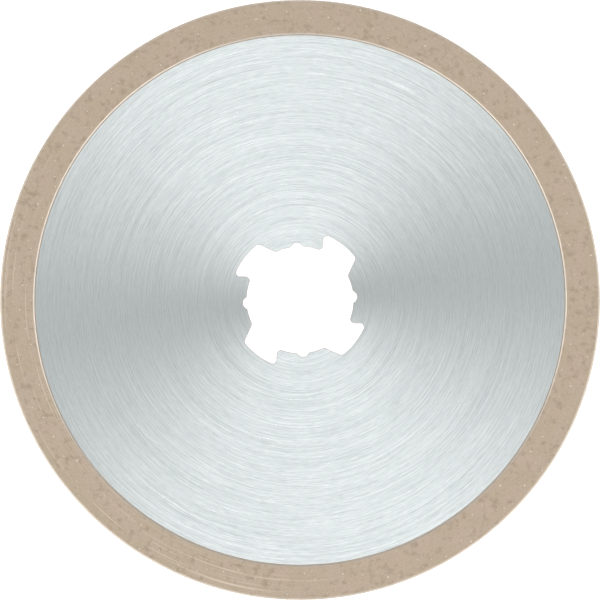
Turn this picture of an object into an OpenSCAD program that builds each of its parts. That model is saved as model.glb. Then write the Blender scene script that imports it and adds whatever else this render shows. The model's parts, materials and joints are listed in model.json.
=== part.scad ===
// Continuous-rim diamond blade for tile, with a quick-change bore.
//
// The blade lies flat on XY and turns about Z. The origin is the centre of the bore, halfway
// through the thickness. A thin steel core carries a sintered diamond rim, which is pressed
// over the core's toothed edge and laps a little way over both of its faces.

/* [Blade] */
// Outer diameter of the blade
blade_d = 125; // [115:1:180]
// Thickness of the steel core
core_t = 1.2; // [1:0.1:1.6]

/* [Quick-change bore] */
// Diameter of the bore, across the inner edges of the four tabs
bore_d = 22.23; // [22:0.01:22.5]
// Diameter across the outer walls of the four pockets
pocket_d = 29.08; // [28:0.02:31]
// Angle at which each pocket's sloping flank leaves the bore
ramp_at = 27; // [25:1:29]
// Lean of the sloping flank from the radius
ramp_lean = 38; // [34:1:42]
// Angle at which each pocket's steep flank leaves the bore
steep_at = 64; // [62:1:66]
// Lean of the steep flank from the radius
steep_lean = 26; // [24:1:28]
// Rounding of the tabs' corners at the bore
tab_corner = 0.9; // [0.5:0.1:1]
// Rounding of the pockets' outer corners
pocket_corner = 0.8; // [0.5:0.1:0.9]
// Radius of the half-round notch in each tab
notch_r = 1.25; // [1:0.05:1.4]
// Depth of the notch below the bore's edge
notch_depth = 0.8; // [0.6:0.1:0.9]
// Angle of the notch in the first tab
notch_at = 3.4; // [2:0.2:5]
// Rounding of the notch's mouth
notch_corner = 0.15; // [0.1:0.05:0.3]

/* [Diamond rim] */
// Width of the rim that shows on each face
rim_w = 7.4; // [6:0.1:12]
// Height of the rim's faces above the core's faces
rim_lip = 0.2; // [0.2:0.05:0.5]
// Rounding of the rim's outer corners
rim_corner = 0.5; // [0.3:0.05:0.6]
// Width of the rounded edge where the rim meets the steel
lip_run = 0.6; // [0.4:0.1:0.8]

/* [Toothed core edge] */
// Number of teeth that key the rim to the core
tooth_count = 60; // [36:2:72]
// How far the teeth reach in under the rim
tooth_reach = 2.3; // [1.8:0.1:2.8]
// Height of each tooth
tooth_h = 1.2; // [0.8:0.1:1.4]
// Width of each tooth at its root
tooth_w = 2.4; // [1.8:0.1:2.6]
// Flare of each tooth's sides, which locks it into the rim
tooth_flare = 0.3; // [0.1:0.05:0.4]
// Depth ground off each face of the core where the rim laps over it
edge_relief = 0.05; // [0.02:0.01:0.1]

/* [Diamond grit] */
// Number of crystals showing in each face of the rim
face_grit = 120; // [40:10:160]
// Number of crystals showing round the cutting edge
edge_grit = 120; // [40:10:160]
// Smallest and largest crystal, from tip to tip
grit_size = [0.2, 0.34]; // [0.15:0.01:0.35]
// Seed of the random scatter
grit_seed = 7; // [1:1:99]

/* [Hidden] */

$fn = 180;
corner_fn = 48;
// Every rounding arc is this much larger than its tangent circle, so that it crosses the edges
// that it rounds at a small angle and leaves no needle-thin slivers.
arc_bite = 0.003;
tabs = 4;
pocket_pitch = 360 / tabs;

blade_r = blade_d / 2;
rim_t = core_t + 2 * rim_lip;
rim_in_r = blade_r - rim_w;

// The rounded lip is an arc that is tangent to the rim's face and meets the core's face.
lip_arc_r = (lip_run ^ 2 + rim_lip ^ 2) / (2 * rim_lip);

bore_r = bore_d / 2;
pocket_r = pocket_d / 2;
tooth_tip_r = rim_in_r + tooth_reach;
tooth_root_r = tooth_tip_r - tooth_h;

// Each flank of a pocket is [angle at the bore, lean from the radius, side of the pocket]:
// side is 1 where the pocket lies anticlockwise of the flank, and -1 where it lies clockwise.
ramp = [ramp_at, ramp_lean, 1];
steep = [steep_at, steep_lean, -1];

// How far past the pocket's wall its sides are drawn before the wall trims them
overshoot = 1.5;

// Centre of a notch, set in from the bore's edge so that the notch is notch_depth deep
notch_mid_r = bore_r + notch_depth - notch_r;

// Crystals keep this clear of the rim's rounded edges.
grit_margin = 0.2;
// Each crystal has its own share of the circle, and is scattered over this much of the share.
grit_scatter = 0.7;
edge_grit_z = rim_t / 2 - rim_corner - grit_margin / 2;
// Radius of the flats on the edge's crystals, at which the widest of them just stays in the curve
edge_grind_r = sqrt(blade_r ^ 2 - (grit_size[1] / 2) ^ 2);

function direction(angle) = [cos(angle), sin(angle)];

// Unit vector along a flank, outwards, and the unit vector square to it that points into the pocket
function along(flank) = direction(flank[0] + flank[1]);
function inwards(flank) = flank[2] * [-along(flank)[1], along(flank)[0]];

// Point at a given radius on the line that lies a given distance on the pocket's side of a flank
function beside(flank, distance, radius) =
    let (from_axis = distance - flank[2] * bore_r * sin(flank[1]))
    from_axis * inwards(flank) + sqrt(radius ^ 2 - from_axis ^ 2) * along(flank);

// Centres of the arcs that round a tab's corner and a pocket's outer corner
function tab_arc(flank) = beside(flank, -tab_corner, bore_r + tab_corner);
function pocket_arc(flank) = beside(flank, pocket_corner, pocket_r - pocket_corner);

// One side of a pocket, from the middle of the tab's arc to beyond the pocket's wall
function pocket_side(flank) = [
    tab_arc(flank),
    tab_arc(flank) + tab_corner * inwards(flank),
    pocket_arc(flank) - pocket_corner * inwards(flank),
    pocket_arc(flank),
    overshoot * pocket_arc(flank)
];

function reversed(list) = [for (i = [len(list) - 1 : -1 : 0]) list[i]];

// Angle each side of a notch at which the arc that rounds its mouth is centred
function mouth_angle() =
    let (arc_r = bore_r + notch_corner, reach = notch_r + notch_corner)
    acos((arc_r ^ 2 + notch_mid_r ^ 2 - reach ^ 2) / (2 * arc_r * notch_mid_r));

module pocket() {
    difference() {
        union() {
            intersection() {
                circle(r = pocket_r);
                polygon(concat([[0, 0]], pocket_side(ramp), reversed(pocket_side(steep))));
            }
            for (flank = [ramp, steep])
                translate(pocket_arc(flank))
                    circle(r = pocket_corner + arc_bite, $fn = corner_fn);
        }
        for (flank = [ramp, steep])
            translate(tab_arc(flank))
                circle(r = tab_corner + arc_bite, $fn = corner_fn);
    }
}

module notch() {
    middle = notch_mid_r * direction(notch_at);
    mouth_arcs = [
        for (side = [-1, 1]) (bore_r + notch_corner) * direction(notch_at + side * mouth_angle())
    ];
    difference() {
        union() {
            translate(middle)
                circle(r = notch_r, $fn = corner_fn);
            polygon([[0, 0], mouth_arcs[0], middle, mouth_arcs[1]]);
        }
        for (arc = mouth_arcs)
            translate(arc)
                circle(r = notch_corner + arc_bite, $fn = corner_fn);
    }
}

// The whole opening: the bore, with four pockets between the tabs and a notch in each tab
module bore_outline() {
    circle(r = bore_r);
    for (i = [0 : tabs - 1])
        rotate(i * pocket_pitch) {
            pocket();
            notch();
        }
}

// The core's edge: a ring of teeth that widen outwards, trimmed to a circle
module toothed_disc() {
    circle(r = tooth_root_r);
    intersection() {
        circle(r = tooth_tip_r);
        for (i = [0 : tooth_count - 1])
            rotate(i * 360 / tooth_count)
                polygon([
                    [tooth_root_r - tooth_h, -tooth_w / 2 + tooth_flare],
                    [tooth_tip_r + tooth_h, -tooth_w / 2 - tooth_flare],
                    [tooth_tip_r + tooth_h, tooth_w / 2 + tooth_flare],
                    [tooth_root_r - tooth_h, tooth_w / 2 - tooth_flare]
                ]);
    }
}

module sheet(thickness) {
    translate([0, 0, -thickness / 2])
        linear_extrude(thickness)
            children();
}

// The core at full thickness as far as the rim's lip, and a little thinner from there outwards
module core_plate() {
    sheet(core_t)
        difference() {
            circle(r = rim_in_r);
            bore_outline();
        }
    sheet(core_t - 2 * edge_relief)
        difference() {
            toothed_disc();
            circle(r = rim_in_r - tooth_h);
        }
}

// Section of the rim through its thickness, with rounded outer corners and rounded lips
module rim_section() {
    difference() {
        translate([rim_in_r, -rim_t / 2])
            square([rim_w, rim_t]);
        for (side = [-1, 1])
            scale([1, side]) {
                difference() {
                    translate([blade_r - rim_corner, rim_t / 2 - rim_corner])
                        square(2 * rim_corner);
                    translate([blade_r - rim_corner, rim_t / 2 - rim_corner])
                        circle(r = rim_corner, $fn = corner_fn);
                }
                difference() {
                    translate([rim_in_r - lip_run, core_t / 2])
                        square([2 * lip_run, 2 * rim_lip]);
                    translate([rim_in_r + lip_run, rim_t / 2 - lip_arc_r])
                        circle(r = lip_arc_r);
                }
            }
    }
}

module rim_ring() {
    rotate_extrude()
        rim_section();
}

// One octahedral crystal, turned at random and centred in the ground surface
module whole_crystal(size, turn) {
    tip = size / 2;
    rotate(turn)
        polyhedron(
            points = [[tip, 0, 0], [0, tip, 0], [-tip, 0, 0], [0, -tip, 0], [0, 0, tip], [0, 0, -tip]],
            faces = [
                [1, 0, 4], [2, 1, 4], [3, 2, 4], [0, 3, 4],
                [0, 1, 5], [1, 2, 5], [2, 3, 5], [3, 0, 5]
            ]
        );
}

// A crystal with all that stood above the surface, which is at z = 0 here, ground away
module ground_crystal(size, turn) {
    intersection() {
        whole_crystal(size, turn);
        translate([-size, -size, -size])
            cube([2 * size, 2 * size, size]);
    }
}

module placed_crystal(size, turn, ground) {
    if (ground) {
        ground_crystal(size, turn);
    } else {
        whole_crystal(size, turn);
    }
}

// Crystals centred in one face of the rim: side is 1 for the upper face and -1 for the lower
module face_crystals(side, ground) {
    low_r = rim_in_r + lip_run + grit_margin;
    high_r = blade_r - rim_corner - grit_margin;
    seed = grit_seed + side;
    share = 360 / face_grit;
    size = rands(grit_size[0], grit_size[1], face_grit, seed);
    radius = rands(low_r, high_r, face_grit, seed + 10);
    stray = rands(-grit_scatter / 2, grit_scatter / 2, face_grit, seed + 20);
    turn = rands(0, 360, 3 * face_grit, seed + 30);
    for (i = [0 : face_grit - 1])
        rotate((i + stray[i]) * share)
            translate([radius[i], 0, side * rim_t / 2])
                rotate([90 - side * 90, 0, 0])
                    placed_crystal(size[i], [turn[3 * i], turn[3 * i + 1], turn[3 * i + 2]], ground);
}

// Crystals centred in the rim's cutting edge
module edge_crystals(ground) {
    share = 360 / edge_grit;
    size = rands(grit_size[0], grit_size[1], edge_grit, grit_seed + 40);
    height = rands(-edge_grit_z, edge_grit_z, edge_grit, grit_seed + 50);
    stray = rands(-grit_scatter / 2, grit_scatter / 2, edge_grit, grit_seed + 60);
    turn = rands(0, 360, 3 * edge_grit, grit_seed + 70);
    for (i = [0 : edge_grit - 1])
        rotate((i + stray[i]) * share)
            translate([edge_grind_r, 0, height[i]])
                rotate([0, 90, 0])
                    placed_crystal(size[i], [turn[3 * i], turn[3 * i + 1], turn[3 * i + 2]], ground);
}

// Laser-cut steel disc with the quick-change bore
module steel_core() {
    color([0.78, 0.80, 0.82])
        core_plate();
}

// Sintered bronze bond, with seats for the core's teeth and for the crystals
module diamond_rim() {
    color([0.75, 0.68, 0.60])
        difference() {
            rim_ring();
            core_plate();
            face_crystals(1, false);
            face_crystals(-1, false);
            edge_crystals(false);
        }
}

// Crystals ground flush with the upper face
module upper_face_grit() {
    color([0.93, 0.90, 0.84])
        face_crystals(1, true);
}

// Crystals ground flush with the lower face
module lower_face_grit() {
    color([0.93, 0.90, 0.84])
        face_crystals(-1, true);
}

// Crystals dressed flush with the cutting edge
module cutting_edge_grit() {
    color([0.93, 0.90, 0.84])
        edge_crystals(true);
}

steel_core();
diamond_rim();
upper_face_grit();
lower_face_grit();
cutting_edge_grit();
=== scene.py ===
import json
import math
import random

import bmesh
import bpy
from mathutils import Euler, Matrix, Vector, noise


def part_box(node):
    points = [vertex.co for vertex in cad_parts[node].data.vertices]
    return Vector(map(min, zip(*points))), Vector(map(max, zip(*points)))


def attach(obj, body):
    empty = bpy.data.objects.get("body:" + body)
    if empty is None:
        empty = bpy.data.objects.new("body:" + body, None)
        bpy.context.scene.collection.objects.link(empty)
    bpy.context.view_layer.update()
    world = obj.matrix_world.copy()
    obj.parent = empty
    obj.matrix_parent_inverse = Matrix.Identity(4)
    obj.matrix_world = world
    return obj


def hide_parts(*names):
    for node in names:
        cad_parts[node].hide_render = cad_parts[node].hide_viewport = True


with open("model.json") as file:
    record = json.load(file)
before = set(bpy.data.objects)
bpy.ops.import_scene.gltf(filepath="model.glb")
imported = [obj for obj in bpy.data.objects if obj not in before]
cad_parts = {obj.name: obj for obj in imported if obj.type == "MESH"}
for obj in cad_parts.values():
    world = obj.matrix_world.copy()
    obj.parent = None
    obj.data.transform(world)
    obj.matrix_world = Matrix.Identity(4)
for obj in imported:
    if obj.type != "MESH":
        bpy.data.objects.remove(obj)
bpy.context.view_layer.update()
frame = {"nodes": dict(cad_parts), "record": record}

# ---------------------------------------------------------------------------------------------
# Steel core
# A disc of hardened steel sheet, 1.2 mm thick. A laser cuts the quick-change bore and the ring
# of teeth at the edge, which the rim is pressed over. Both faces are brushed while it turns.
# ---------------------------------------------------------------------------------------------
mm = 0.001
core_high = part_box("steel_core")[1]
core_face = core_high.z
tooth_tip_r = core_high.x
bore_mount = next(m for m in frame["record"]["mounts"] if m["name"] == "quick_change_bore")
bore_r = bore_mount["dims"]["r_mm"] * mm

tab_count = 4
tab_corner = 0.9 * mm
pocket_r = 14.54 * mm
pocket_corner = 0.8 * mm
notch_r = 1.25 * mm
notch_depth = 0.8 * mm
notch_mid_r = bore_r + notch_depth - notch_r
notch_at = 3.4
mouth_corner = 0.15 * mm
# Each flank of a pocket: the angle at which it leaves the bore, its lean from the radius, and
# the side that the pocket lies on (1 is anticlockwise of the flank, -1 is clockwise)
ramp = (27, 38, 1)
steep = (64, 26, -1)

tooth_count = 60
tooth_h = 1.2 * mm
tooth_w = 2.4 * mm
tooth_flare = 0.3 * mm
# The cut edges are tumbled, which takes this much off their corners
edge_break = 0.08 * mm
# Arcs are drawn in steps no longer than this
arc_step = 0.12 * mm
# Points closer together than this are one point
same_point = 1e-4 * mm


def heading(degrees):
    return Vector((math.cos(math.radians(degrees)), math.sin(math.radians(degrees))))


def along_flank(flank):
    return heading(flank[0] + flank[1])


def into_pocket(flank):
    way = along_flank(flank)
    return flank[2] * Vector((-way.y, way.x))


def beside(flank, distance, radius):
    """The point at this radius on the line that lies this far on the pocket's side of a flank."""
    from_axis = distance - flank[2] * bore_r * math.sin(math.radians(flank[1]))
    reach = math.sqrt(radius**2 - from_axis**2)
    return from_axis * into_pocket(flank) + reach * along_flank(flank)


def arc(middle, start, end):
    """Points along the shorter arc round middle, from start to end."""
    spoke = start - middle
    turn = spoke.angle_signed(end - middle)
    count = max(2, math.ceil(abs(turn) * spoke.length / arc_step))
    first = math.degrees(math.atan2(spoke.y, spoke.x))
    sweep = -math.degrees(turn)
    return [middle + spoke.length * heading(first + sweep * i / count) for i in range(count + 1)]


def at_radius(point, radius):
    return point * (radius / point.length)


def turned(points, degrees):
    swing = heading(degrees)
    return [Vector((p.x * swing.x - p.y * swing.y, p.x * swing.y + p.y * swing.x)) for p in points]


def pocket_flank(flank):
    """One flank from the bore to the pocket's outer wall, with both of its corners rounded."""
    tab_middle = beside(flank, -tab_corner, bore_r + tab_corner)
    wall_middle = beside(flank, pocket_corner, pocket_r - pocket_corner)
    leaves_tab = tab_middle + tab_corner * into_pocket(flank)
    meets_wall = wall_middle - pocket_corner * into_pocket(flank)
    return (
        arc(tab_middle, at_radius(tab_middle, bore_r), leaves_tab)
        + arc(wall_middle, meets_wall, at_radius(wall_middle, pocket_r))
    )


def notch_edge():
    """The half-round notch in a tab, from one rounded corner of its mouth to the other."""
    middle = notch_mid_r * heading(notch_at)
    reach = notch_r + mouth_corner
    corner_r = bore_r + mouth_corner
    spread = math.degrees(
        math.acos((corner_r**2 + notch_mid_r**2 - reach**2) / (2 * corner_r * notch_mid_r))
    )
    corners = [corner_r * heading(notch_at + side * spread) for side in (-1, 1)]
    touches = [corner + mouth_corner / reach * (middle - corner) for corner in corners]
    return (
        arc(corners[0], at_radius(corners[0], bore_r), touches[0])
        + arc(middle, touches[0], touches[1])
        + arc(corners[1], touches[1], at_radius(corners[1], bore_r))
    )


def bore_edge():
    """The whole opening, anticlockwise: a notched tab and then a pocket, four times."""
    axis = Vector((0, 0))
    pitch = 360 / tab_count
    notch = notch_edge()
    up_ramp = pocket_flank(ramp)
    down_steep = pocket_flank(steep)[::-1]
    tab_start = turned([down_steep[-1]], -pitch)[0]
    quarter = arc(axis, tab_start, notch[0]) + notch + arc(axis, notch[-1], up_ramp[0])
    quarter += up_ramp + arc(axis, up_ramp[-1], down_steep[0]) + down_steep
    return [p for i in range(tab_count) for p in turned(quarter, i * pitch)]


def toothed_edge():
    """The hidden outer edge: teeth that widen towards their tips, so that the rim can't fly off."""
    axis = Vector((0, 0))
    root_r = tooth_tip_r - tooth_h
    pitch = 360 / tooth_count
    # A tooth's side leans out by two thirds of the flare over its height
    root_half = math.degrees((tooth_w / 2 - tooth_flare / 3) / root_r)
    tip_half = math.degrees((tooth_w / 2 + tooth_flare / 3) / tooth_tip_r)
    root = [root_r * heading(angle) for angle in (root_half - pitch, -root_half)]
    tip = [tooth_tip_r * heading(angle) for angle in (-tip_half, tip_half)]
    tooth = arc(axis, root[0], root[1]) + arc(axis, tip[0], tip[1])
    return [p for i in range(tooth_count) for p in turned(tooth, i * pitch)]


def without_repeats(points):
    return [p for i, p in enumerate(points) if (p - points[i - 1]).length > same_point]


def cut_plate(name, loops, half_thickness):
    """A sheet cut to closed outlines, with its corners just taken off, as a mesh."""
    drawing = bpy.data.curves.new(name + "_outline", "CURVE")
    drawing.dimensions = "2D"
    drawing.fill_mode = "BOTH"
    drawing.extrude = half_thickness - edge_break
    drawing.bevel_depth = edge_break
    drawing.bevel_resolution = 1
    drawing.offset = -edge_break
    for loop in loops:
        spline = drawing.splines.new("POLY")
        spline.points.add(len(loop) - 1)
        spline.use_cyclic_u = True
        for point, place in zip(spline.points, loop):
            point.co = (place.x, place.y, 0, 1)
    outline = bpy.data.objects.new(name + "_outline", drawing)
    mesh = bpy.data.meshes.new_from_object(outline)
    mesh.name = name
    bpy.data.objects.remove(outline)
    bpy.data.curves.remove(drawing)
    joined = bmesh.new()
    joined.from_mesh(mesh)
    bmesh.ops.remove_doubles(joined, verts=joined.verts, dist=same_point)
    joined.to_mesh(mesh)
    joined.free()
    return mesh


def show(name, mesh):
    piece = bpy.data.objects.new(name, mesh)
    bpy.context.scene.collection.objects.link(piece)
    return piece


def add(tree, kind, inputs, **options):
    """Adds a shader node. An input is a plain value or another node's output."""
    made = tree.nodes.new(kind)
    for option, value in options.items():
        setattr(made, option, value)
    for socket, value in inputs.items():
        if isinstance(value, bpy.types.NodeSocket):
            tree.links.new(value, made.inputs[socket])
        else:
            made.inputs[socket].default_value = value
    return made.outputs


def maths(tree, operation, *values):
    return add(tree, "ShaderNodeMath", dict(enumerate(values)), operation=operation)[0]


def between(tree, share, low, high):
    """low where share is 0 and high where it is 1."""
    return add(tree, "ShaderNodeMapRange", {"Value": share, "To Min": low, "To Max": high})[0]


def stronger(tree, share, start, end):
    """Stretches the part of share from start to end over the whole of 0 to 1."""
    return add(tree, "ShaderNodeMapRange", {"Value": share, "From Min": start, "From Max": end})[0]


def blended(tree, share, low, high):
    """A colour that goes from low to high with share."""
    return add(tree, "ShaderNodeMix", {"Factor": share, 6: low, 7: high}, data_type="RGBA")[2]


def tinted(tree, base, tint, share, most):
    """The base colour, with as much as most of the tint in it where share is 1."""
    return blended(tree, maths(tree, "MULTIPLY", share, most), base, tint)


def new_finish(name):
    finish = bpy.data.materials.new(name)
    finish.use_nodes = True
    tree = finish.node_tree
    return finish, tree, tree.nodes["Principled BSDF"]


def roughen(tree, surface, height, depth):
    bump = add(tree, "ShaderNodeBump", {"Height": height, "Distance": depth})[0]
    tree.links.new(bump, surface.inputs["Normal"])


def millimetres(tree):
    """The place on the piece in millimetres, and its distance from the spin axis."""
    place = add(tree, "ShaderNodeTexCoord", {})["Object"]
    scaled = add(tree, "ShaderNodeVectorMath", {0: place, "Scale": 1 / mm}, operation="SCALE")[0]
    split = add(tree, "ShaderNodeSeparateXYZ", {0: scaled})
    flat = add(tree, "ShaderNodeCombineXYZ", {0: split[0], 1: split[1]})[0]
    radius = add(tree, "ShaderNodeVectorMath", {0: flat}, operation="LENGTH")["Value"]
    return scaled, split, radius


def specks(tree, place, scale, detail):
    """Noise whose specks are about 1 / scale apart."""
    return add(tree, "ShaderNodeTexNoise", {"Vector": place, "Scale": scale, "Detail": detail})[0]


def brush_marks(tree, split, radius, length, width, start):
    """Noise drawn out into arcs round the spin axis, of about this length and width in mm.

    start picks the pattern, and the far face has one of its own.
    """
    face_apart = 40.0
    around = [maths(tree, "DIVIDE", split[i], length) for i in (0, 1)]
    face = maths(tree, "MULTIPLY", maths(tree, "SIGN", split[2]), face_apart)
    across = maths(tree, "ADD", maths(tree, "DIVIDE", radius, width), maths(tree, "ADD", face, start))
    coords = add(tree, "ShaderNodeCombineXYZ", {0: around[0], 1: around[1], 2: across})[0]
    return specks(tree, coords, 1.0, 2.0)


def brushed_steel():
    """Marks of three lengths, long rings to short nicks, and a few bright scratches over them."""
    dark_steel = (0.520, 0.562, 0.564, 1)
    bright_steel = (0.758, 0.798, 0.800, 1)
    bright_scratch = (0.90, 0.93, 0.93, 1)
    finish, tree, surface = new_finish("brushed_steel")
    _, split, radius = millimetres(tree)
    rings = brush_marks(tree, split, radius, length=45.0, width=0.13, start=3.0)
    strokes = brush_marks(tree, split, radius, length=6.0, width=0.13, start=11.0)
    nicks = brush_marks(tree, split, radius, length=1.6, width=0.12, start=23.0)
    scratch = brush_marks(tree, split, radius, length=8.0, width=0.11, start=37.0)
    scratch = stronger(tree, scratch, 0.60, 0.72)
    grain = maths(tree, "ADD", maths(tree, "MULTIPLY", rings, 0.4), maths(tree, "MULTIPLY", strokes, 0.3))
    grain = maths(tree, "ADD", grain, maths(tree, "MULTIPLY", nicks, 0.3))
    tone = stronger(tree, grain, 0.38, 0.62)
    steel = tinted(tree, blended(tree, tone, dark_steel, bright_steel), bright_scratch, scratch, 0.6)
    tree.links.new(steel, surface.inputs["Base Color"])
    matt = between(tree, tone, 0.395, 0.28)
    rough = maths(tree, "SUBTRACT", matt, maths(tree, "MULTIPLY", scratch, 0.05))
    tree.links.new(rough, surface.inputs["Roughness"])
    surface.inputs["Metallic"].default_value = 1.0
    surface.inputs["Anisotropic"].default_value = 0.85
    surface.inputs["Anisotropic Rotation"].default_value = 0.25
    tangent = add(tree, "ShaderNodeTangent", {}, direction_type="RADIAL", axis="Z")[0]
    tree.links.new(tangent, surface.inputs["Tangent"])
    roughen(tree, surface, grain, 0.035 * mm)
    return finish


def laser_cut_steel():
    """The walls of the bore: dull, heat-tinted, with upright drag lines from the laser."""
    dark_wall = (0.33, 0.33, 0.33, 1)
    pale_wall = (0.55, 0.54, 0.52, 1)
    heat_tint = (0.42, 0.30, 0.20, 1)
    line_stretch = 0.25
    finish, tree, surface = new_finish("laser_cut_steel")
    place, split, _ = millimetres(tree)
    upright = maths(tree, "MULTIPLY", split[2], line_stretch)
    coords = add(tree, "ShaderNodeCombineXYZ", {0: split[0], 1: split[1], 2: upright})[0]
    drag = specks(tree, coords, 7.0, 3.0)
    cool = blended(tree, stronger(tree, drag, 0.3, 0.7), dark_wall, pale_wall)
    wall = tinted(tree, cool, heat_tint, specks(tree, place, 0.8, 2.0), 0.45)
    tree.links.new(wall, surface.inputs["Base Color"])
    tree.links.new(between(tree, drag, 0.60, 0.42), surface.inputs["Roughness"])
    surface.inputs["Metallic"].default_value = 1.0
    roughen(tree, surface, drag, 0.02 * mm)
    return finish


# A face that is tipped further than this from level belongs to a cut wall
level = 0.98
core_outlines = [without_repeats(toothed_edge()), without_repeats(bore_edge())]
core_mesh = cut_plate("brushed_core", core_outlines, core_face)
core_mesh.materials.append(brushed_steel())
core_mesh.materials.append(laser_cut_steel())
for face in core_mesh.polygons:
    face.material_index = 1 if abs(face.normal.z) < level else 0
    face.use_smooth = True
core_mesh.set_sharp_from_angle(angle=math.radians(20))
steel_core = show("brushed_core", core_mesh)
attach(steel_core, "root")
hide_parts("steel_core")

# ---------------------------------------------------------------------------------------------
# Diamond rim
# Bronze and cobalt powder, mixed with diamond, hot-pressed round the core's teeth and sintered
# into one unbroken ring. Its faces are ground, its outer corners are rounded, and each inner lip
# curves down to a narrow ledge on the steel.
# ---------------------------------------------------------------------------------------------
rim_low, rim_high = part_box("diamond_rim")
blade_r = rim_high.x
rim_face = rim_high.z
rim_in_r = blade_r - 7.4 * mm
lip_ledge = 0.12 * mm
lip_run = 0.4 * mm
lip_step = 0.02 * mm
lip_steps = 12
rim_corner = 0.5 * mm
corner_steps = 8
rim_turns = 960
face_rings = 10
# The ground faces are a few thousandths of a millimetre out of true
face_waves = 0.004 * mm
wave_length = 1.3 * mm
# One side has painted glints, pale scores that stand in for light catching the bond there, and more of
# its fine grit crowds there
glint_side_at = 215


def rim_section():
    """The rim's outline through its thickness, from the inner edge over the top and back below."""
    foot_r, foot = rim_in_r + lip_ledge, core_face + lip_step
    lip = [(rim_in_r, foot)] + [
        (foot_r + lip_run * t, foot + (rim_face - foot) * t**3 * (t * (6 * t - 15) + 10))
        for t in (i / lip_steps for i in range(lip_steps + 1))
    ]
    face_width = blade_r - rim_corner - lip[-1][0]
    flat = [(lip[-1][0] + face_width * i / face_rings, rim_face) for i in range(1, face_rings)]
    corner = [
        (blade_r - rim_corner * (1 - math.sin(a)), rim_face - rim_corner * (1 - math.cos(a)))
        for a in (math.pi / 2 * i / corner_steps for i in range(corner_steps + 1))
    ]
    upper = lip + flat + corner
    return upper + [(radius, -height) for radius, height in reversed(upper)]


def rim_mesh():
    section = rim_section()
    count = len(section)
    points = []
    for turn in range(rim_turns):
        way = heading(360 * turn / rim_turns)
        for radius, height in section:
            place = Vector((way.x * radius, way.y * radius, height))
            if abs(height) == rim_face:
                place.z += face_waves * noise.noise(place / wave_length) * math.copysign(1, height)
            points.append(place)
    faces = []
    for turn in range(rim_turns):
        here, there = turn * count, (turn + 1) % rim_turns * count
        for i in range(count):
            j = (i + 1) % count
            faces.append((here + i, here + j, there + j, there + i))
    mesh = bpy.data.meshes.new("sintered_rim")
    mesh.from_pydata(points, [], faces)
    return mesh


def sintered_bond():
    """Matt bronze with darker cobalt specks and blotches, under the marks of the grinding, with painted
    glints on one side and a painted shade line at the lip's foot.
    """
    warm_bond = (0.480, 0.390, 0.283, 1)
    pale_bond = (0.514, 0.404, 0.316, 1)
    cobalt_speck = (0.330, 0.252, 0.176, 1)
    dark_blotch = (0.26, 0.185, 0.122, 1)
    wheel_mark = (0.62, 0.55, 0.44, 1)
    # Painted glint colour for the pale scores on one side
    painted_glint_score = (0.84, 0.76, 0.62, 1)
    burnished = (0.86, 0.81, 0.74, 1)
    # Painted shade for the ledge at the lip's foot
    painted_ledge_shade = (0.16, 0.13, 0.10, 1)
    finish, tree, surface = new_finish("sintered_bond")
    place, split, radius = millimetres(tree)
    cloud = stronger(tree, specks(tree, place, 0.25, 3.0), 0.35, 0.65)
    blotch = stronger(tree, specks(tree, place, 0.8, 2.0), 0.53, 0.74)
    mottle = stronger(tree, specks(tree, place, 3.0, 1.0), 0.35, 0.65)
    grain = specks(tree, place, 7.0, 2.0)
    corner = stronger(tree, radius, (blade_r - rim_corner) / mm, (blade_r - 0.7 * rim_corner) / mm)
    on_face = maths(tree, "SUBTRACT", 1.0, corner)
    bond = blended(tree, cloud, warm_bond, pale_bond)
    bond = tinted(tree, bond, cobalt_speck, mottle, 0.24)
    bond = tinted(tree, bond, dark_blotch, blotch, 0.46)
    # The grinding wheel leaves faint rings all round
    wheel = brush_marks(tree, split, radius, length=14.0, width=0.22, start=5.0)
    wheel = maths(tree, "MULTIPLY", stronger(tree, wheel, 0.35, 0.65), on_face)
    bond = tinted(tree, bond, wheel_mark, wheel, 0.10)
    # Painted glints: a few pale scores painted on one side, standing in for the glints where the light
    # falls
    towards = heading(glint_side_at).to_3d()
    side = add(tree, "ShaderNodeVectorMath", {0: place, 1: towards}, operation="DOT_PRODUCT")["Value"]
    glint_score = brush_marks(tree, split, radius, length=25.0, width=0.3, start=51.0)
    glint_score = maths(tree, "MULTIPLY", stronger(tree, glint_score, 0.60, 0.70), stronger(tree, side, 15.0, 45.0))
    bond = tinted(tree, bond, painted_glint_score, maths(tree, "MULTIPLY", glint_score, on_face), 0.5)
    # Use burnishes the lips and the corners beside the cutting edge
    lip_r = rim_in_r + lip_ledge + 0.5 * lip_run
    off_lip = maths(tree, "ABSOLUTE", maths(tree, "SUBTRACT", radius, lip_r / mm))
    lip = stronger(tree, off_lip, 0.5 * lip_run / mm, 0.2 * lip_run / mm)
    lip = maths(tree, "MULTIPLY", lip, 0.85)
    polished = maths(tree, "MAXIMUM", lip, maths(tree, "MULTIPLY", corner, 0.65))
    bond = tinted(tree, bond, burnished, polished, 0.66)
    # Painted shade: a dark line on the ledge at the lip's foot, where the lip meets the steel
    ledge_shade_mask = stronger(tree, radius, (rim_in_r + 1.5 * lip_ledge) / mm, (rim_in_r + lip_ledge) / mm)
    bond = tinted(tree, bond, painted_ledge_shade, ledge_shade_mask, 0.45)
    tree.links.new(bond, surface.inputs["Base Color"])
    matt = between(tree, grain, 0.45, 0.62)
    rough = maths(tree, "SUBTRACT", matt, maths(tree, "MULTIPLY", polished, 0.20))
    tree.links.new(rough, surface.inputs["Roughness"])
    tree.links.new(between(tree, polished, 0.2, 0.9), surface.inputs["Metallic"])
    height = maths(tree, "ADD", grain, maths(tree, "MULTIPLY", wheel, 0.3))
    roughen(tree, surface, height, 0.009 * mm)
    return finish


rim = show("sintered_rim", rim_mesh())
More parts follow.
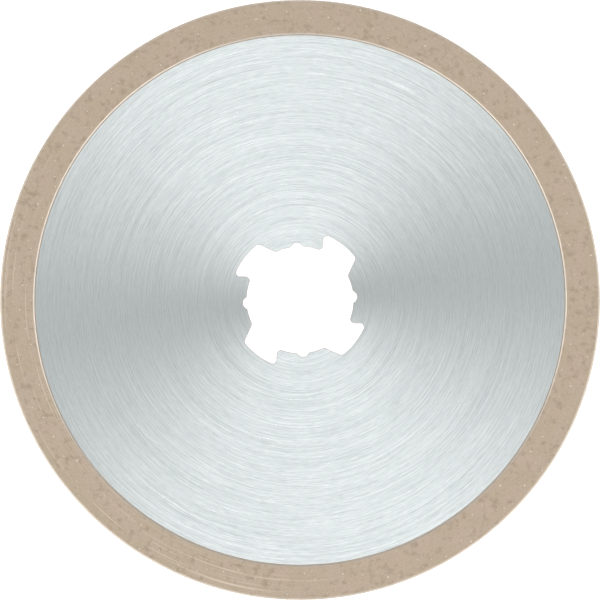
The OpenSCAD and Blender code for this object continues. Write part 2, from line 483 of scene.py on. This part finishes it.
# The core's teeth press their own shape into the rim
seat = rim.modifiers.new("core_seat", "BOOLEAN")
seat.operation = "DIFFERENCE"
seat.solver = "EXACT"
seat.object = steel_core
bpy.context.view_layer.update()
pressed = bpy.data.meshes.new_from_object(rim.evaluated_get(bpy.context.evaluated_depsgraph_get()))
rim.modifiers.remove(seat)
rim.data = pressed
pressed.materials.clear()
pressed.materials.append(sintered_bond())
for face in pressed.polygons:
    face.material_index = 0
    face.use_smooth = True
pressed.set_sharp_from_angle(angle=math.radians(30))
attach(rim, "root")
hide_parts("diamond_rim")

# ---------------------------------------------------------------------------------------------
# Diamond crystals
# Blocky man-made diamonds, about 0.2 to 0.35 mm, that stand a hair proud of the ground bond.
# Each is a cube with its corners cut off, and the grinding wheel has faced it flat on top.
# ---------------------------------------------------------------------------------------------
proud = 0.02 * mm
# A blocky crystal is this much fuller than the pointed one that holds its place
fuller = 1.3
corner_cut = (0.45, 0.8)
weld = 1e-3 * mm
dice = random.Random(12)


def crystal_places(node):
    """The middle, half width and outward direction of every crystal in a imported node."""
    lump = bmesh.new()
    lump.from_mesh(frame["nodes"][node].data)
    bmesh.ops.remove_doubles(lump, verts=lump.verts, dist=weld)
    unseen = set(lump.verts)
    places = []
    while unseen:
        group, edge = [], [unseen.pop()]
        while edge:
            vertex = edge.pop()
            group.append(vertex.co.copy())
            near = {e.other_vert(vertex) for e in vertex.link_edges} & unseen
            unseen -= near
            edge.extend(near)
        low = Vector(map(min, *group))
        high = Vector(map(max, *group))
        middle = (low + high) / 2
        size = max(high - low) / 2
        if "edge" in node:
            out = Vector((middle.x, middle.y, 0)).normalized()
            surface = out * blade_r + Vector((0, 0, middle.z))
        else:
            out = Vector((0, 0, math.copysign(1, middle.z)))
            surface = Vector((middle.x, middle.y, out.z * rim_face))
        places.append((surface, size, out))
    lump.free()
    return sorted(places, key=lambda place: tuple(place[0]))


def crystal_shape(surface, size, out):
    """One cube with cut corners, turned at random and faced flat just above the surface."""
    cut = dice.uniform(*corner_cut)
    turn = Euler([dice.uniform(0, math.tau) for _ in range(3)])
    scale = fuller * size / math.sqrt(2 + cut**2)
    block = bmesh.new()
    for axis in range(3):
        for signs in ((a, b, c) for a in (-1, 1) for b in (-1, 1) for c in (-1, 1)):
            corner = Vector(signs)
            corner[axis] *= cut
            corner.rotate(turn)
            block.verts.new(surface + corner * scale)
    bmesh.ops.convex_hull(block, input=block.verts)
    everything = block.verts[:] + block.edges[:] + block.faces[:]
    sliced = bmesh.ops.bisect_plane(
        block, geom=everything, plane_co=surface + out * proud, plane_no=out, clear_outer=True
    )
    open_edges = [e for e in sliced["geom_cut"] if isinstance(e, bmesh.types.BMEdge)]
    bmesh.ops.contextual_create(block, geom=open_edges)
    bmesh.ops.recalc_face_normals(block, faces=block.faces)
    block.verts.index_update()
    points = [vertex.co.copy() for vertex in block.verts]
    faces = [[vertex.index for vertex in face.verts] for face in block.faces]
    block.free()
    return points, faces


def crystal_mesh(name, places):
    points, faces = [], []
    for surface, size, out in places:
        new_points, new_faces = crystal_shape(surface, size, out)
        faces += [[len(points) + corner for corner in face] for face in new_faces]
        points += new_points
    mesh = bpy.data.meshes.new(name)
    mesh.from_pydata(points, [], faces)
    return mesh


def diamond(name, pale, warm):
    """Uncut yellow diamond, taken as solid because the bond behind each crystal lights it."""
    finish, tree, surface = new_finish(name)
    place, _, _ = millimetres(tree)
    each = specks(tree, place, 0.9, 1.0)
    flaw = specks(tree, place, 14.0, 2.0)
    mix = maths(tree, "ADD", maths(tree, "MULTIPLY", each, 0.7), maths(tree, "MULTIPLY", flaw, 0.3))
    tree.links.new(blended(tree, stronger(tree, mix, 0.3, 0.7), warm, pale), surface.inputs["Base Color"])
    tree.links.new(between(tree, flaw, 0.12, 0.32), surface.inputs["Roughness"])
    surface.inputs["IOR"].default_value = 2.4
    return finish


diamond_finish = diamond("diamond", pale=(0.98, 0.95, 0.86, 1), warm=(0.74, 0.66, 0.52, 1))
for node in ("upper_face_grit", "lower_face_grit", "cutting_edge_grit"):
    crystals = show(node.replace("grit", "crystals"), crystal_mesh(node, crystal_places(node)))
    crystals.data.materials.append(diamond_finish)
    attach(crystals, "root")
    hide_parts(node)

# ---------------------------------------------------------------------------------------------
# Fine grit
# The broken and smaller diamonds in the same mix, about 0.06 to 0.18 mm, which show as a faint
# sparkle all over the rim's faces and its cutting edge.
# ---------------------------------------------------------------------------------------------
fine_per_face = 600
fine_round_edge = 300
# Half widths of the smallest and the largest of them, on the faces and round the cutting edge
face_fine = (0.03 * mm, 0.09 * mm)
edge_fine = (0.03 * mm, 0.07 * mm)
# Half of them crowd about the side with the painted glints, within about this many degrees
glint_side_spread = 35


def fine_places():
    places = []
    inner, outer = rim_in_r + lip_ledge + lip_run, blade_r - rim_corner
    for side in (-1, 1):
        for _ in range(fine_per_face):
            radius = math.sqrt(dice.uniform(inner**2, outer**2))
            anywhere, near_glint_side = dice.uniform(0, 360), dice.gauss(glint_side_at, glint_side_spread)
            spot = radius * heading(dice.choice((anywhere, near_glint_side)))
            surface = Vector((spot.x, spot.y, side * rim_face))
            places.append((surface, dice.uniform(*face_fine), Vector((0, 0, side))))
    flat_half = rim_face - rim_corner
    for _ in range(fine_round_edge):
        way = heading(dice.uniform(0, 360))
        out = Vector((way.x, way.y, 0))
        surface = out * blade_r + Vector((0, 0, dice.uniform(-flat_half, flat_half)))
        places.append((surface, dice.uniform(*edge_fine), out))
    return places


fine_finish = diamond("fine_diamond", pale=(0.92, 0.86, 0.72, 1), warm=(0.64, 0.54, 0.40, 1))
fine_grit = show("fine_grit", crystal_mesh("fine_grit", fine_places()))
fine_grit.data.materials.append(fine_finish)
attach(fine_grit, "root")

# ---------------------------------------------------------------------------------------------
# Studio
# The blade lies on a white sheet, seen from straight above through a long lens. Two low soft
# boxes, at the left and the right of the front, catch the lips and the outer corners, and a
# faint one stands between them.
# ---------------------------------------------------------------------------------------------
lens = 200.0
sensor = 36.0
camera_height = 2 * blade_r * lens / sensor

view = bpy.data.cameras.new("camera")
view.lens = lens
view.sensor_width = sensor
view.clip_start = 0.05
view.clip_end = 20.0
camera = bpy.data.objects.new("camera", view)
camera.location = (0, 0, camera_height)
bpy.context.scene.collection.objects.link(camera)
bpy.context.scene.camera = camera
bpy.context.scene.view_settings.view_transform = "Standard"
bpy.context.scene.view_settings.look = "None"

box_distance = 1.4
box_height = 0.5


def soft_box(name, azimuth, elevation, width, glow):
    """A lamp that faces the blade. Its brightness is glow, whatever its size."""
    panel = bpy.data.lights.new(name, "AREA")
    panel.shape = "RECTANGLE"
    panel.size = width
    panel.size_y = box_height
    panel.energy = glow * width * box_height * math.pi
    lamp = bpy.data.objects.new(name, panel)
    flat = heading(azimuth) * math.cos(math.radians(elevation))
    way = Vector((flat.x, flat.y, math.sin(math.radians(elevation))))
    lamp.location = way * box_distance
    lamp.rotation_euler = way.to_track_quat("Z", "Y").to_euler()
    lamp.visible_camera = False
    bpy.context.scene.collection.objects.link(lamp)


soft_box("right_box", azimuth=337, elevation=33, width=2.5, glow=2.4)
soft_box("left_box", azimuth=207, elevation=33, width=2.5, glow=2.4)
soft_box("front_box", azimuth=272, elevation=30, width=0.8, glow=0.25)

# Two pale screens hang overhead, over the front and the back. The dim gap between them runs from
# left to right, turned a little, and puts the two dark bands on the brushed steel. The studio's
# walls are lit too. Each edge says where a light starts and where it is full: as the sine of the
# elevation for the screens and the walls, and of the angle from the middle of the gap.
dome_dim = 0.25
screen_glow = 2.28
screen_edge = (0.80, 0.92)
wall_glow = 0.45
wall_edge = (0.50, 0.30)
gap_turn = 6
gap_edge = (0.008, 0.35)
world = bpy.data.worlds.new("studio")
bpy.context.scene.world = world
world.use_nodes = True
dome = world.node_tree
sky = add(dome, "ShaderNodeTexCoord", {})["Generated"]
forward = heading(gap_turn - 90).to_3d()
share = add(dome, "ShaderNodeVectorMath", {0: sky, 1: forward}, operation="DOT_PRODUCT")["Value"]
height = add(dome, "ShaderNodeSeparateXYZ", {0: sky})[2]
off_gap = stronger(dome, maths(dome, "ABSOLUTE", share), *gap_edge)
screens = maths(dome, "MULTIPLY", off_gap, stronger(dome, height, *screen_edge))
glow = maths(dome, "ADD", maths(dome, "MULTIPLY", screens, screen_glow), dome_dim)
walls = maths(dome, "MULTIPLY", stronger(dome, height, *wall_edge), wall_glow)
glow = maths(dome, "ADD", glow, walls)
dome.links.new(glow, dome.nodes["Background"].inputs["Strength"])
dome.nodes["Background"].inputs["Color"].default_value = (1, 1, 1, 1)

# The sheet is just below the rim's lower face, where the crystals that stand proud rest on it
sheet_mesh = bpy.data.meshes.new("sheet")
reach = 3.0
floor = rim_low.z - proud
sheet_mesh.from_pydata(
    [(-reach, -reach, floor), (reach, -reach, floor), (reach, reach, floor), (-reach, reach, floor)],
    [], [(0, 1, 2, 3)],
)
sheet = show("sheet", sheet_mesh)
paper, paper_tree, paper_surface = new_finish("white_paper")
fibre = specks(paper_tree, add(paper_tree, "ShaderNodeTexCoord", {})["Object"], 300.0, 2.0)
white = blended(paper_tree, fibre, (0.93, 0.93, 0.93, 1), (0.96, 0.96, 0.96, 1))
paper_tree.links.new(white, paper_surface.inputs["Base Color"])
paper_surface.inputs["Roughness"].default_value = 0.9
paper_surface.inputs["Emission Color"].default_value = (1, 1, 1, 1)
paper_surface.inputs["Emission Strength"].default_value = 0.55
sheet_mesh.materials.append(paper)
